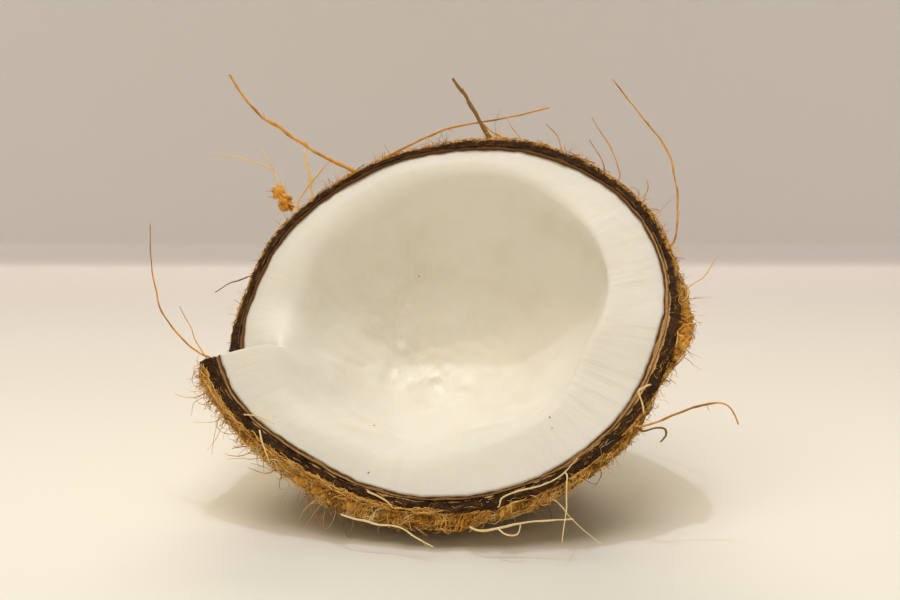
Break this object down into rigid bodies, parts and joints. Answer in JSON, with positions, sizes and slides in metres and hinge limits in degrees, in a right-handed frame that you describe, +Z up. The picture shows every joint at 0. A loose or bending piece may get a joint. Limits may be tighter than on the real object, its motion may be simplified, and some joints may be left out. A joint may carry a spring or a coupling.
{
  "type": "coconut half",
  "caption": "Half of a broken brown coconut lying tilted, its white flesh and hollow facing out and up, with a dark shell and matted coir husk fibre outside.",
  "frame": {"origin": "on the flat patch of coir that the half rests on, straight under the middle of the nut", "axes": "+Z up from the table, and the opening faces -Y and upwards, turned a little to -X"},
  "size_m": [0.1503, 0.1203, 0.101],
  "materials": {
    "flesh": "satin",
    "brown_skin": "matte",
    "shell": "satin",
    "coir": "matte",
    "coir_strand": "matte",
    "husk_crumb": "matte"
  },
  "bodies": {
    "root": {"flesh": "flesh", "brown_skin": "brown_skin", "shell": "shell", "coir_mat": "coir", "husk_crumb": "husk_crumb", "strand_top_left": "coir_strand", "strand_top_stub": "coir_strand", "strand_top_blade": "coir_strand", "strand_top_short": "coir_strand", "strand_top_hair": "coir_strand", "strand_top_right_fine": "coir_strand", "strand_top_right_bent": "coir_strand", "strand_top_right_thin": "coir_strand", "strand_right_arc": "coir_strand", "strand_right_spike": "coir_strand", "strand_right_wire": "coir_strand", "strand_right_hook": "coir_strand", "strand_right_curl": "coir_strand", "strand_left_whip": "coir_strand", "strand_left_thin": "coir_strand", "strand_left_frond": "coir_strand", "strand_crumb_long": "coir_strand", "strand_crumb_whisker": "coir_strand", "strand_crossed_upright": "coir_strand", "strand_crossed_slanting": "coir_strand", "strand_below_light": "coir_strand", "strand_below_branch": "coir_strand", "strand_below_loop": "coir_strand", "strand_below_upright": "coir_strand", "strand_below_right": "coir_strand", "strand_over_edge": "coir_strand", "strand_over_skin": "coir_strand", "strand_right_pale": "coir_strand", "strand_lower_left_a": "coir_strand", "strand_lower_left_b": "coir_strand"}
  },
  "joints": []
}
